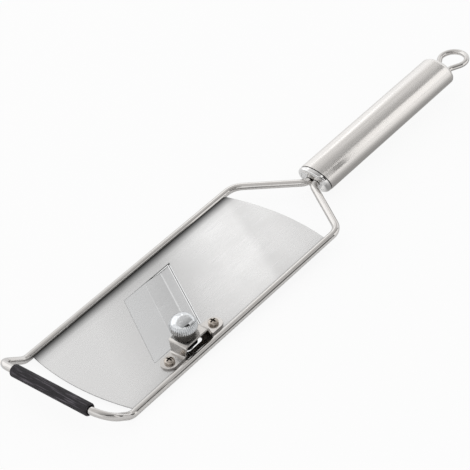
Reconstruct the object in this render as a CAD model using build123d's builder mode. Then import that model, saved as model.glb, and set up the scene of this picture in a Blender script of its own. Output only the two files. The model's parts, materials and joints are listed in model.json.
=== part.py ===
# Truffle slicer: a flat steel plate in a bent wire frame, with an adjustable flap before the blade.
# Origin: middle of the wire rectangle, on the top face of the plate.
# +X points to the handle, +Y to the side away from the thumb knob, +Z up from the plate.
# All sizes in millimetres and degrees.

import os
from math import cos, pi, radians, sin, tan

from build123d import *

os.makedirs("parts", exist_ok=True)

# Shared values
overrun = 3.0           # how far a cut runs past what it cuts
seat_gap = 0.05         # between pieces that are welded or pressed against each other
running_gap = 0.1       # between flat faces that slide on each other

# Wire frame
wire_d = 4.5
rail_spacing = 80.0     # between the wire centres of the two rails
rail_length = 179.0     # between the bend points of one rail
arm_length = 20.0       # rising piece of wire at the front
arm_angle = 35.4
neck_length = 26.2      # from the rear bend points to where the two wires would meet
shank_gap = 0.1         # between the two wires where they run side by side
handle_lift = 1.5       # handle axis above the plane of the rails, at the tube's front
arm_bend_r = 9.0
bar_corner_r = 11.0      # of the front corner at the knob's side
far_corner_r = 7.0
neck_bend_r = 11.0
pinch_bend_r = 6.0

# Plate with its window
sheet = 0.8
front_margin = 4.5      # from the plate's corners to the bend points of the rails
rear_margin = 10.1
end_bulge = 4.4
plate_corner_r = 1.5
slant_angle = 30.5      # of the blade from a line square to the handle
window_right_y = -24.2
window_left_y = 25.8
window_length = 38.8    # along X, from the flap's fold to the blade's line

# Blade under the plate
blade_sheet = 0.8
blade_width = 9.0       # under the plate, behind the window
blade_reach = 0.95      # how far the edge stands out into the window
blade_bevel = 2.2
blade_lap = 1.0         # past each side of the window

# Adjusting flap
landing_width = 5.6     # lower level field at the flap's end
ramp_width = 11.0       # sloping field before it
ramp_drop = 1.0
fold_r = 2.0
hinge_gap = 0.1
throat_gap = 0.4        # from the flap's end to the edge of the blade
kerf_at_fold = 0.12
kerf_at_blade = 0.45
ear_width = 10.6
ear_length = 8.3        # past the side of the window
ear_corner_r = 3.0
notch_margin = 1.7      # free space round the ear

# Bridge over the ear
bridge_x = -30.4
bridge_sheet = 1.2
bridge_height = 7.2     # top face above the plate
bridge_top_length = 18.0
bridge_base_length = 22.0
bridge_bend_r = 1.6
foot_width = 10.6
foot_centre_y = -31.4
screw_spacing = 36.6
bridge_inner_y = -23.6

# Bridge screws and nuts
screw_d = 3.0
screw_hole_d = 3.4
screw_head_d = 6.0
screw_head_height = 2.4
screw_head_edge = 0.9
recess_width = 0.8
recess_span = 3.2
recess_depth = 1.4
recess_slope = 3.0      # degrees
nut_across_flats = 5.5
nut_height = 1.8
washer_d = 5.6
washer_sheet = 0.6
washer_split = 0.5
screw_end = 0.3         # past the nut

# Thumb knob and its screw
knob_y = -27.3
knob_d = 16.0
knob_band = 2.6         # height below the dome
knob_dome = 6.0
knob_dome_d = 16.4      # wider than the knob, so that the flutes run out into the dome
flute_count = 40
flute_depth = 0.4
collar_d = 12.0
collar_height = 2.9
collar_edge = 0.4
stud_d = 3.55           # mean size of an M4 thread
stud_hole_d = 4.2
stud_end_z = -4.3
stud_depth_in_knob = 5.0
clip_d = 7.0
clip_sheet = 0.6
clip_groove_d = 2.8
clip_mouth = 2.2
clip_edge = 0.5         # stud left below the clip

# Nut of the ear
ear_nut_d = 6.6
ear_nut_height = 2.0
ear_nut_bore_d = 4.1
ear_nut_edge = 0.2

# Grip sleeve on the front bar
sleeve_d = 7.5
sleeve_length = 57.0
sleeve_edge = 0.7
sleeve_mouth = 0.5

# Handle
handle_d = 22.0
handle_wall = 1.0
handle_length = 129.6   # of the tube, along its axis
handle_tilt = 0.7       # degrees, the rear end is the higher one
handle_lean = 21.2      # degrees, the upper sides of both ends lean to the frame
shoulder = 2.6          # cut off the rear edge
cap_standoff = 6.7      # from the wires' last bend point to the tube, along the axis
cap_inset = 0.2         # the cap's radius is that much less than the tube's
cap_depth = 4.0         # from the cap's front to the tube
cap_rim = 1.5           # cut off the front edge
cap_recess_r = 7.6      # field inside the rim
cap_recess_depth = 0.5
cap_skirt = 4.0
cap_edge = 0.3
seal_height = 0.4       # ring in the seam between cap and tube
seal_inset = 0.1        # from the cap's radius
socket_gap = 0.35       # round the wires in the cap
anchor_length = 16.0    # plug that holds the wire
anchor_gap = 1.0
wire_in_anchor = 13.0

# Hanging loop
loop_wire = 3.5
loop_ring_r = 8.6
loop_leg_spacing = 9.2
loop_flare_angle = 29.0
loop_bend_r = 3.0
loop_straight = 3.5     # wire outside the handle before the flare
loop_plug_length = 9.0
loop_in_plug = 7.0
loop_drop = 1.0         # level plane of the loop below the handle's axis at the rear

# Worked out from the values above
skew = tan(radians(slant_angle))
wire_z = -sheet / 2
handle_z = wire_z + handle_lift
rail_y = rail_spacing / 2
rail_end_x = rail_length / 2
bar_x = -rail_end_x - arm_length * cos(radians(arm_angle))
bar_z = wire_z + arm_length * sin(radians(arm_angle))
shank_y = (wire_d + shank_gap) / 2
pinch_x = rail_end_x + neck_length * (1 - shank_y / rail_y)
handle_front_x = pinch_x + cap_standoff
handle_rear_x = handle_front_x + handle_length
end_reach = handle_d / 2 * tan(radians(handle_lean))
anchor_x = handle_front_x + end_reach + cap_skirt + anchor_gap
wire_end_x = anchor_x + wire_in_anchor

fold_x = -window_length
fold_to_blade = window_length * cos(radians(slant_angle))
flap_length = fold_to_blade - blade_reach - throat_gap
ramp_end = flap_length - landing_width
ramp_start = ramp_end - ramp_width
window_mid_y = (window_left_y + window_right_y) / 2
blade_mid = (window_mid_y * skew, window_mid_y)
across = Vector(cos(radians(slant_angle)), -sin(radians(slant_angle)), 0)
along = Vector(sin(radians(slant_angle)), cos(radians(slant_angle)), 0)

foot_outer_y = foot_centre_y - foot_width / 2
foot_inner_y = foot_centre_y + foot_width / 2
screw_places = [(bridge_x - screw_spacing / 2, foot_centre_y), (bridge_x + screw_spacing / 2, foot_centre_y)]
ear_end_y = window_right_y - ear_length
knob_place = (bridge_x, knob_y)
knob_base_z = bridge_height + collar_height + running_gap
knob_top_z = knob_base_z + knob_band + knob_dome
ear_fold_distance = (bridge_x - window_right_y * skew - fold_x) * cos(radians(slant_angle))
ear_z = -ramp_drop * (ear_fold_distance - ramp_start) / ramp_width
clip_z = stud_end_z + clip_edge


def slanted(x, y):
    """Point at height y on the slanted line that crosses the X axis at x."""
    return (x + y * skew, y)


def on_handle(x, y=0):
    """Point beside the handle's axis, x counted along it and equal to X at the tube's front."""
    reach = x - handle_front_x
    tilt = radians(handle_tilt)
    return (handle_front_x + reach * cos(tilt), y, handle_z + reach * sin(tilt))


def across_handle(x):
    """Plane square to the handle's axis."""
    tilt = radians(handle_tilt)
    return Plane(origin=on_handle(x), x_dir=(0, 1, 0), z_dir=(cos(tilt), 0, sin(tilt)))


def handle_end(x):
    """Leaning plane of the handle's ends, where it crosses the axis at x."""
    lean = radians(handle_tilt + handle_lean)
    return Plane(origin=on_handle(x), x_dir=(0, 1, 0), z_dir=(cos(lean), 0, sin(lean)))


handle_dir = across_handle(handle_front_x).z_dir
loop_z = on_handle(handle_rear_x)[2] - loop_drop


def across_legs(x):
    """Plane square to the legs of the loop, with its middle between them."""
    return Plane(origin=(x, 0, loop_z), x_dir=(0, 1, 0), z_dir=(1, 0, 0))


knob_axis = Axis((bridge_x, knob_y, 0), (0, 0, 1))
knob_section = Plane(origin=(bridge_x, knob_y, 0), x_dir=(1, 0, 0), z_dir=(0, -1, 0))
fold_plane = Plane(origin=(*slanted(fold_x, window_mid_y), 0), x_dir=across, z_dir=-along)
blade_plane = Plane(origin=(*blade_mid, 0), x_dir=across, z_dir=-along)

# Wire frame: one rod, both ends side by side in the handle
wire_route = [
    on_handle(wire_end_x, -shank_y),
    on_handle(pinch_x, -shank_y),
    (rail_end_x, -rail_y, wire_z),
    (-rail_end_x, -rail_y, wire_z),
    (bar_x, -rail_y, bar_z),
    (bar_x, rail_y, bar_z),
    (-rail_end_x, rail_y, wire_z),
    (rail_end_x, rail_y, wire_z),
    on_handle(pinch_x, shank_y),
    on_handle(wire_end_x, shank_y),
]
side_bends = [pinch_bend_r, neck_bend_r, arm_bend_r]
with BuildPart() as wire_frame:
    with BuildLine() as wire_line:
        FilletPolyline(*wire_route, radius=[*side_bends, bar_corner_r, far_corner_r, *reversed(side_bends)])
    with BuildSketch(Plane(origin=wire_line.line @ 0, z_dir=wire_line.line % 0)):
        Circle(wire_d / 2)
    sweep()
wire_frame.part.label = "wire_frame"
export_step(wire_frame.part, "parts/wire_frame.step")

# Plate: straight along the rails, bowed at both ends, with the window, the ear's notch and screw holes
plate_y = rail_y - wire_d / 2 - seat_gap
front_corner_x = front_margin - rail_end_x
rear_corner_x = rail_end_x - rear_margin
with BuildPart() as slicing_plate:
    with BuildSketch(Plane.XY.offset(-sheet)):
        with BuildLine():
            front_end = ThreePointArc(
                (front_corner_x, plate_y), (front_corner_x - end_bulge, 0), (front_corner_x, -plate_y)
            )
            rear_end = ThreePointArc(
                (rear_corner_x, -plate_y), (rear_corner_x + end_bulge, 0), (rear_corner_x, plate_y)
            )
            Line(front_end @ 1, rear_end @ 0)
            Line(rear_end @ 1, front_end @ 0)
        outline = make_face()
        fillet(outline.vertices(), plate_corner_r)
        with BuildLine():
            Polyline(
                slanted(fold_x, window_right_y),
                slanted(0, window_right_y),
                slanted(0, window_left_y),
                slanted(fold_x, window_left_y),
                close=True,
            )
        make_face(mode=Mode.SUBTRACT)
        notch_reach = ear_length + notch_margin
        with Locations((bridge_x, window_right_y - notch_reach / 2 + ear_corner_r / 2)):
            RectangleRounded(
                ear_width + 2 * notch_margin, notch_reach + ear_corner_r, ear_corner_r, mode=Mode.SUBTRACT
            )
        with Locations(*screw_places):
            Circle(screw_hole_d / 2, mode=Mode.SUBTRACT)
    extrude(amount=sheet)
slicing_plate.part.label = "slicing_plate"
export_step(slicing_plate.part, "parts/slicing_plate.step")

# Blade: a strip under the plate behind the window, ground to an edge from below
blade_half = (window_left_y - window_right_y) / cos(radians(slant_angle)) / 2 + blade_lap
with BuildPart() as cutting_blade:
    with BuildSketch(blade_plane):
        with BuildLine():
            Polyline(
                (-blade_reach, -sheet),
                (blade_width, -sheet),
                (blade_width, -sheet - blade_sheet),
                (blade_bevel - blade_reach, -sheet - blade_sheet),
                close=True,
            )
        make_face()
    extrude(amount=blade_half, both=True)
cutting_blade.part.label = "cutting_blade"
export_step(cutting_blade.part, "parts/cutting_blade.step")

# Flap: level field, ramp and landing from one folded sheet, with an ear under the bridge
with BuildPart() as thickness_flap:
    with BuildSketch(fold_plane):
        with BuildLine():
            FilletPolyline(
                (hinge_gap, -sheet / 2),
                (ramp_start, -sheet / 2),
                (ramp_end, -sheet / 2 - ramp_drop),
                (flap_length, -sheet / 2 - ramp_drop),
                radius=fold_r,
            )
        trace(line_width=sheet)
    extrude(amount=window_left_y - window_right_y, both=True)
    with BuildSketch(Plane.XY.offset(-sheet - ramp_drop - overrun)):
        with BuildLine():
            Polyline(
                slanted(fold_x - overrun, window_right_y + kerf_at_fold),
                slanted(fold_x, window_right_y + kerf_at_fold),
                slanted(0, window_right_y + kerf_at_blade),
                slanted(overrun, window_right_y + kerf_at_blade),
                slanted(overrun, window_left_y - kerf_at_blade),
                slanted(0, window_left_y - kerf_at_blade),
                slanted(fold_x, window_left_y - kerf_at_fold),
                slanted(fold_x - overrun, window_left_y - kerf_at_fold),
                close=True,
            )
        make_face()
    extrude(amount=sheet + ramp_drop + 2 * overrun, mode=Mode.INTERSECT)
    ear_root_y = window_right_y + 2 * sheet
    with BuildSketch(Plane.XY.offset(ear_z - sheet)):
        with Locations((bridge_x, (ear_root_y + ear_end_y) / 2)):
            ear_outline = Rectangle(ear_width, ear_root_y - ear_end_y)
        fillet(ear_outline.vertices().group_by(Axis.Y)[0], ear_corner_r)
        with Locations(knob_place):
            Circle(stud_hole_d / 2, mode=Mode.SUBTRACT)
    extrude(amount=sheet)
thickness_flap.part.label = "thickness_flap"
export_step(thickness_flap.part, "parts/thickness_flap.step")

# Nut pressed into the ear, which the knob's stud turns in
with BuildPart() as ear_nut:
    with BuildSketch(Plane.XY.offset(ear_z)):
        with Locations(knob_place):
            Circle(ear_nut_d / 2)
            Circle(ear_nut_bore_d / 2, mode=Mode.SUBTRACT)
    extrude(amount=ear_nut_height)
    chamfer(ear_nut.faces().sort_by(Axis.Z)[-1].outer_wire().edges(), ear_nut_edge)
ear_nut.part.label = "ear_nut"
export_step(ear_nut.part, "parts/ear_nut.step")

# Bridge: a bent strip with round feet, wider at the top where the knob stands
strip_z = bridge_sheet / 2
crown_z = bridge_height - bridge_sheet / 2
foot_reach = (screw_spacing + foot_width) / 2
with BuildPart() as adjuster_bridge:
    with BuildSketch(Plane.XZ.offset(-foot_outer_y)):
        with BuildLine():
            FilletPolyline(
                (bridge_x - foot_reach, strip_z),
                (bridge_x - bridge_base_length / 2, strip_z),
                (bridge_x - bridge_top_length / 2, crown_z),
                (bridge_x + bridge_top_length / 2, crown_z),
                (bridge_x + bridge_base_length / 2, strip_z),
                (bridge_x + foot_reach, strip_z),
                radius=bridge_bend_r,
            )
        trace(line_width=bridge_sheet)
    extrude(amount=foot_outer_y - bridge_inner_y)
    with BuildSketch(Plane.XY.offset(-overrun)):
        with Locations((bridge_x, foot_centre_y)):
            SlotOverall(2 * foot_reach, foot_width)
        with BuildLine():
            Polyline(
                (bridge_x - bridge_base_length / 2, foot_outer_y),
                (bridge_x - bridge_base_length / 2, foot_inner_y),
                (bridge_x - bridge_top_length / 2, bridge_inner_y),
                (bridge_x + bridge_top_length / 2, bridge_inner_y),
                (bridge_x + bridge_base_length / 2, foot_inner_y),
                (bridge_x + bridge_base_length / 2, foot_outer_y),
                close=True,
            )
        make_face()
    extrude(amount=bridge_height + 2 * overrun, mode=Mode.INTERSECT)
    with Locations((*knob_place, bridge_height)):
        Hole(stud_hole_d / 2, depth=bridge_sheet + overrun)
    with Locations(*[(*place, bridge_sheet) for place in screw_places]):
        Hole(screw_hole_d / 2, depth=bridge_sheet + overrun)
adjuster_bridge.part.label = "adjuster_bridge"
export_step(adjuster_bridge.part, "parts/adjuster_bridge.step")

# Two cross-head screws that hold the bridge's feet
head_top_z = bridge_sheet + screw_head_height
nut_top_z = -sheet - washer_sheet
screw_tip_z = nut_top_z - nut_height - screw_end
with BuildPart() as bridge_screws:
    with BuildSketch(Plane.XY.offset(bridge_sheet)):
        with Locations(*screw_places):
            Circle(screw_head_d / 2)
    extrude(amount=screw_head_height)
    chamfer(bridge_screws.edges().group_by(Axis.Z)[-1], screw_head_edge)
    with BuildSketch(Plane.XY.offset(screw_tip_z)):
        with Locations(*screw_places):
            Circle(screw_d / 2)
    extrude(amount=bridge_sheet - screw_tip_z)
    chamfer(bridge_screws.edges().group_by(Axis.Z)[0], screw_end / 2)
    with BuildSketch(Plane.XY.offset(head_top_z)):
        with Locations(*screw_places):
            Rectangle(recess_span, recess_width)
            Rectangle(recess_width, recess_span)
    extrude(amount=-recess_depth, taper=recess_slope, mode=Mode.SUBTRACT)
bridge_screws.part.label = "bridge_screws"
export_step(bridge_screws.part, "parts/bridge_screws.step")

# Two split lock washers under the plate
with BuildPart() as lock_washers:
    with BuildSketch(Plane.XY.offset(nut_top_z)):
        with Locations(*screw_places):
            Circle(washer_d / 2)
            Circle(screw_d / 2 + seat_gap, mode=Mode.SUBTRACT)
        with Locations(*[(x, y - washer_d / 2) for x, y in screw_places]):
            Rectangle(washer_split, washer_d, rotation=slant_angle, mode=Mode.SUBTRACT)
    extrude(amount=washer_sheet)
lock_washers.part.label = "lock_washers"
export_step(lock_washers.part, "parts/lock_washers.step")

# Two thin nuts under the washers
with BuildPart() as bridge_nuts:
    with BuildSketch(Plane.XY.offset(nut_top_z - nut_height)):
        with Locations(*screw_places):
            RegularPolygon(nut_across_flats / 2, 6, major_radius=False)
            Circle(screw_d / 2 + seat_gap, mode=Mode.SUBTRACT)
    extrude(amount=nut_height)
bridge_nuts.part.label = "bridge_nuts"
export_step(bridge_nuts.part, "parts/bridge_nuts.step")

# Collar between the bridge and the knob
with BuildPart() as knob_collar:
    with BuildSketch(Plane.XY.offset(bridge_height)):
        with Locations(knob_place):
            Circle(collar_d / 2)
            Circle(stud_hole_d / 2, mode=Mode.SUBTRACT)
    extrude(amount=collar_height)
    chamfer(knob_collar.faces().sort_by(Axis.Z)[-1].outer_wire().edges(), collar_edge)
knob_collar.part.label = "knob_collar"
export_step(knob_collar.part, "parts/knob_collar.step")

# Thumb knob: fluted all round, with a dome that the flutes run into, bored from below for the stud
dome_z = knob_base_z + knob_band
knob_dome_r = knob_dome_d / 2
flute_step = pi / flute_count
flute_points = [
    (reach * cos(flute_step * step), reach * sin(flute_step * step))
    for step, reach in enumerate([knob_d / 2, knob_d / 2 - flute_depth] * flute_count)
]
with BuildPart() as thumb_knob:
    with BuildSketch(knob_section):
        with BuildLine():
            Polyline((0, knob_top_z), (0, knob_base_z), (knob_dome_r, knob_base_z), (knob_dome_r, dome_z))
            TangentArc((0, knob_top_z), (knob_dome_r, dome_z), tangent=(1, 0))
        make_face()
    revolve(axis=knob_axis)
    with BuildSketch(Plane.XY.offset(knob_base_z)):
        with Locations(knob_place):
            Polygon(*flute_points, align=None)
    extrude(amount=knob_band + knob_dome, mode=Mode.INTERSECT)
    with BuildSketch(Plane.XY.offset(knob_base_z)):
        with Locations(knob_place):
            Circle(stud_d / 2 + seat_gap)
    extrude(amount=stud_depth_in_knob, mode=Mode.SUBTRACT)
thumb_knob.part.label = "thumb_knob"
export_step(thumb_knob.part, "parts/thumb_knob.step")

# Stud of the knob, with the groove for its clip
stud_top_z = knob_base_z + stud_depth_in_knob - seat_gap
with BuildPart() as knob_stud:
    with BuildSketch(knob_section):
        with BuildLine():
            Polyline(
                (0, stud_end_z),
                (clip_groove_d / 2, stud_end_z),
                (stud_d / 2, stud_end_z + (stud_d - clip_groove_d) / 2),
                (stud_d / 2, clip_z),
                (clip_groove_d / 2, clip_z),
                (clip_groove_d / 2, clip_z + clip_sheet),
                (stud_d / 2, clip_z + clip_sheet),
                (stud_d / 2, stud_top_z),
                (0, stud_top_z),
                close=True,
            )
        make_face()
    revolve(axis=knob_axis)
knob_stud.part.label = "knob_stud"
export_step(knob_stud.part, "parts/knob_stud.step")

# Spring clip in the stud's groove
with BuildPart() as stud_clip:
    with BuildSketch(Plane.XY.offset(clip_z)):
        with Locations(knob_place):
            Circle(clip_d / 2)
            Circle(clip_groove_d / 2 + seat_gap / 2, mode=Mode.SUBTRACT)
        with Locations((bridge_x - clip_d / 2, knob_y)):
            Rectangle(clip_d, clip_mouth, mode=Mode.SUBTRACT)
    extrude(amount=clip_sheet)
stud_clip.part.label = "stud_clip"
export_step(stud_clip.part, "parts/stud_clip.step")

# Grip sleeve on the front bar
sleeve_plane = Plane(origin=(bar_x, -sleeve_length / 2, bar_z), z_dir=(0, 1, 0))
with BuildPart() as grip_sleeve:
    with BuildSketch(sleeve_plane):
        Circle(sleeve_d / 2)
        Circle(wire_d / 2 + seat_gap, mode=Mode.SUBTRACT)
    extrude(amount=sleeve_length)
    end_faces = grip_sleeve.faces().filter_by(Axis.Y)
    chamfer([face.outer_wire().edges()[0] for face in end_faces], sleeve_edge)
    end_faces = grip_sleeve.faces().filter_by(Axis.Y)
    chamfer([face.inner_wires()[0].edges()[0] for face in end_faces], sleeve_mouth)
grip_sleeve.part.label = "grip_sleeve"
export_step(grip_sleeve.part, "parts/grip_sleeve.step")

# Handle tube: both ends lean, the rear one is closed, with two holes for the loop
handle_r = handle_d / 2
tube_bore_r = handle_r - handle_wall
leg_y = loop_leg_spacing / 2
with BuildPart() as handle_tube:
    with BuildSketch(across_handle(handle_front_x - handle_r)):
        Circle(handle_r)
    extrude(amount=handle_length + handle_d)
    split(bisect_by=handle_end(handle_front_x), keep=Keep.TOP)
    split(bisect_by=handle_end(handle_rear_x), keep=Keep.BOTTOM)
    chamfer(handle_tube.edges().sort_by(Axis.X)[-1], shoulder)
    end_faces = handle_tube.faces().filter_by(GeomType.PLANE).sort_by(Axis.X)
    offset(amount=-handle_wall, openings=end_faces[0])
    with BuildSketch(across_legs(handle_rear_x - end_reach)):
        with Locations((-leg_y, 0), (leg_y, 0)):
            Circle(loop_wire / 2 + seat_gap)
    extrude(amount=end_reach + overrun, mode=Mode.SUBTRACT)
handle_tube.part.label = "handle_tube"
export_step(handle_tube.part, "parts/handle_tube.step")

# Front cap: polished, with a rim round a sunk field and a slot for the two wires
cap_front_x = handle_front_x - cap_depth
cap_rear_x = handle_front_x - seal_height
cap_r = handle_r - cap_inset
cap_skirt_r = tube_bore_r - seat_gap
stretch = 1 / cos(radians(handle_lean))
with BuildPart() as handle_cap:
    with BuildSketch(across_handle(cap_front_x - handle_r)):
        Circle(cap_r)
    extrude(amount=cap_depth + handle_d)
    split(bisect_by=handle_end(cap_front_x), keep=Keep.TOP)
    split(bisect_by=handle_end(cap_rear_x), keep=Keep.BOTTOM)
    chamfer(handle_cap.edges().sort_by(Axis.X)[0], cap_rim)
    chamfer(handle_cap.edges().sort_by(Axis.X)[-1], cap_edge)
    with BuildSketch(handle_end(cap_front_x)):
        Ellipse(cap_recess_r, cap_recess_r * stretch)
    extrude(amount=cap_recess_depth, dir=handle_dir, mode=Mode.SUBTRACT)
    with BuildSketch(handle_end(cap_rear_x)):
        Ellipse(cap_skirt_r, cap_skirt_r * stretch)
    extrude(amount=seal_height + cap_skirt, dir=handle_dir)
    with BuildSketch(across_handle(cap_front_x - handle_r)):
        SlotOverall(2 * shank_y + wire_d + 2 * socket_gap, wire_d + 2 * socket_gap)
    extrude(amount=cap_depth + cap_skirt + handle_d, mode=Mode.SUBTRACT)
handle_cap.part.label = "handle_cap"
export_step(handle_cap.part, "parts/handle_cap.step")

# Seal ring in the seam between the cap and the tube
with BuildPart() as seal_ring:
    with BuildSketch(across_handle(cap_rear_x - handle_r)):
        Circle(cap_r - seal_inset)
        Circle(cap_skirt_r + seat_gap, mode=Mode.SUBTRACT)
    extrude(amount=handle_d)
    split(bisect_by=handle_end(cap_rear_x), keep=Keep.TOP)
    split(bisect_by=handle_end(handle_front_x), keep=Keep.BOTTOM)
seal_ring.part.label = "seal_ring"
export_step(seal_ring.part, "parts/seal_ring.step")

# Plug inside the tube that holds the ends of the frame's wire
plug_r = tube_bore_r - seat_gap
with BuildPart() as wire_anchor:
    with BuildSketch(across_handle(anchor_x)):
        Circle(plug_r)
    extrude(amount=anchor_length)
    with BuildSketch(across_handle(anchor_x)):
        SlotOverall(2 * shank_y + wire_d + 2 * seat_gap, wire_d + 2 * seat_gap)
    extrude(amount=wire_in_anchor + seat_gap, mode=Mode.SUBTRACT)
wire_anchor.part.label = "wire_anchor"
export_step(wire_anchor.part, "parts/wire_anchor.step")

# Hanging loop: a ring of wire whose two legs flare from the handle's end
flare = radians(loop_flare_angle)
bend_start_x = handle_rear_x + loop_straight
bend_end_y = leg_y + loop_bend_r * (1 - cos(flare))
side_length = (loop_ring_r * cos(flare) - bend_end_y) / sin(flare)
loop_plug_end_x = handle_rear_x - end_reach - shoulder - handle_wall
leg_end_x = loop_plug_end_x - loop_in_plug
with BuildPart() as hanging_loop:
    with BuildLine(Plane.XY.offset(loop_z)):
        leg = Line((leg_end_x, leg_y), (bend_start_x, leg_y))
        bend = JernArc(leg @ 1, (1, 0), loop_bend_r, loop_flare_angle)
        side = PolarLine(bend @ 1, side_length, loop_flare_angle)
        JernArc(side @ 1, (cos(flare), sin(flare)), loop_ring_r, -180 - 2 * loop_flare_angle)
        mirror(side, about=Plane.XZ)
        mirror(bend, about=Plane.XZ)
        mirror(leg, about=Plane.XZ)
    with BuildSketch(across_legs(leg_end_x)):
        with Locations((leg_y, 0)):
            Circle(loop_wire / 2)
    sweep()
hanging_loop.part.label = "hanging_loop"
export_step(hanging_loop.part, "parts/hanging_loop.step")

# Plug inside the rear of the tube that holds the loop's legs
with BuildPart() as loop_plug:
    with BuildSketch(across_handle(loop_plug_end_x - loop_plug_length)):
        Circle(plug_r)
    extrude(amount=loop_plug_length)
    with BuildSketch(across_legs(loop_plug_end_x + overrun)):
        with Locations((-leg_y, 0), (leg_y, 0)):
            Circle(loop_wire / 2 + seat_gap)
    extrude(amount=-loop_plug_length - 2 * overrun, mode=Mode.SUBTRACT)
loop_plug.part.label = "loop_plug"
export_step(loop_plug.part, "parts/loop_plug.step")
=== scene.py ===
# Truffle slicer: materials, fine pieces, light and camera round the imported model.
# +X points to the handle, +Y to the side away from the thumb knob, +Z up from the plate. Metres.

import json
from math import atan2, cos, pi, radians, sin, sqrt, tan

import bmesh
import bpy
from mathutils import Matrix, Vector, noise


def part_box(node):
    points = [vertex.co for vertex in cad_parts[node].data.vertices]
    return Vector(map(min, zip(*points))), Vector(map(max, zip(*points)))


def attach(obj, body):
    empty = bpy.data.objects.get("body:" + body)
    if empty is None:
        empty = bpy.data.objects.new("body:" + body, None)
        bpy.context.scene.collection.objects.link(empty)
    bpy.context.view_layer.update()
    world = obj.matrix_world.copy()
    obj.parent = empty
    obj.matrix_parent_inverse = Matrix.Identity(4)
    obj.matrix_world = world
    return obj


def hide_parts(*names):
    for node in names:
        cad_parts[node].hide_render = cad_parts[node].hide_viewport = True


MM = 0.001
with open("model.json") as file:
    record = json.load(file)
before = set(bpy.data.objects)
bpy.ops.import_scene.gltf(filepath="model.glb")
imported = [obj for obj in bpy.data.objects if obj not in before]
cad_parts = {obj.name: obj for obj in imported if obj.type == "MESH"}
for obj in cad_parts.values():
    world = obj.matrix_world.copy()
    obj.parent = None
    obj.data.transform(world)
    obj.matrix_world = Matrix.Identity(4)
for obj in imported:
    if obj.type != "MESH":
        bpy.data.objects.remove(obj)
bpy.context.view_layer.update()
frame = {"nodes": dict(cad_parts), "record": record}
nodes = frame["nodes"]

# Camera, solved from the photograph
CAMERA_PLACE = Vector((-0.521871, -0.584612, 0.652579))
CAMERA_FORWARD = Vector((0.546974, 0.563226, -0.619351))
CAMERA_RIGHT = Vector((0.635899, -0.760712, -0.130189))
CAMERA_LENS = 138.85        # millimetres
CAMERA_SENSOR = 36.0        # millimetres
CAMERA_CLIP = 0.01          # nearest distance that it shows

# Floor and surroundings
FLOOR_SIZE = 8.0
FLOOR_TONE = 0.9
FLOOR_TO_CAMERA = 0.9       # share of plain white in what the camera sees of the floor
FLOOR_IN_METAL = 0.1        # the same in what metal shows of it
SURROUND_GLOW = 0.8         # of the surroundings, on dull surfaces

# Lamps: compass angle from +X towards +Y, height angle, size, and radiance on top of the surroundings
LAMP_DISTANCE = 1.4
KEY_LAMP = {"compass": 98, "height": 30, "width": 1.4, "tall": 1.2, "glow": 0.35}
BACK_LAMP = {"compass": 44, "height": 38, "width": 0.12, "tall": 0.5, "glow": 0.75}

# Cards that only show in the metal, bent round the tool's length: where each starts and ends along it,
# and for each row its angle round the tool in degrees and its tone
CARD_REACH = 1.2
CARD_WARMTH = 0.012
LONG_CARD_SPAN = (-1.2, 2.4)
LONG_CARD = [
    (53, 1.0), (59, 0.82), (72, 0.70), (85, 0.72),
    (97, 0.62), (109, 0.52), (121, 0.44), (139, 0.38),
]
BRIGHT_CARD_SPAN = (0.57, 2.4)
BRIGHT_CARD = [(139, 1.1), (181, 1.1)]
RAIL_CARD_SPAN = (0.0, 0.165)
RAIL_CARD_REACH = 0.15
RAIL_CARD = [(137, 0.95), (149, 0.60), (160, 0.14), (184, 0.14), (190, 0.5)]
BLACK_CARD_SPAN = (-0.5, 0.66)
BLACK_CARD_REACH = 1.18
BLACK_CARD_LEAN = 9         # degrees, its far end is turned on by that much
BLACK_CARD = [(129, 0.02), (148, 0.02)]
LOW_CARD_SPAN = (-1.6, 0.57)
LOW_CARD = [(151, 0.74), (165, 0.64), (181, 0.60)]

# Small upright black card beside the cap, from edge to edge
CAP_CARD_X = (0.147, 0.160)
CAP_CARD_Z = (0.003, 0.034)
CAP_CARD_Y = -0.057
CAP_CARD_TONE = 0.02

# Card just above the floor, under the handle, whose tones are a painted shadow of the handle that only
# shows in the metal: (place across the tool in millimetres, tone)
FLOOR_SHADOW_CARD_GAP = 0.3 * MM
FLOOR_SHADOW_CARD_SPAN = (0.112, 0.4)
FLOOR_SHADOW_CARD = [
    (-400, 1.05), (-90, 0.95), (-50, 0.80), (-30, 0.53),
    (-17, 0.33), (-9, 0.30), (-4, 0.62), (0, 0.85),
]

# Tones of the satin sheet, painted bands of reflected light that stand for the lamps' sheen: (millimetres
# along the tool, less a share of those across it; tone)
BAND_SKEW = 0.55
SHEET_PAINTED_SHEEN = [
    (-88, 0.65), (-62, 0.645), (-38, 0.56), (-6, 0.51), (14, 0.61),
    (34, 0.68), (55, 0.70), (61, 0.63), (75, 0.665), (90, 0.645),
]
# Shares of those tones, across the tool: painted shade along the rails, wide and deep beside the far rail
RAIL_PAINTED_SHADE = [
    (-37.7, 0.2), (-36.9, 0.95), (-30, 1.0), (27, 1.0),
    (31, 0.9), (34, 0.5), (36, 0.2), (37.7, 0.04),
]

# Behind the blade's slanted line: shares of the sheet's tone on the flap, with painted highlights and
# shade along its folds, and tones of the blade, with painted shade along its edge
BLADE_SLANT = 30.5          # degrees
FLAP_PAINTED_LIGHT = [
    (-33.5, 0.99), (-18.7, 0.97), (-18.3, 1.08), (-17.8, 0.90),
    (-7.7, 0.88), (-7.1, 1.30), (-6.5, 0.96), (-1.3, 0.94),
]
# Painted shade in the gap along the blade's edge
BLADE_EDGE_PAINTED_SHADE = [(-1.0, 0.10), (-0.55, 0.14), (-0.4, 0.9), (0.0, 0.9), (0.6, 0.6)]
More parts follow.
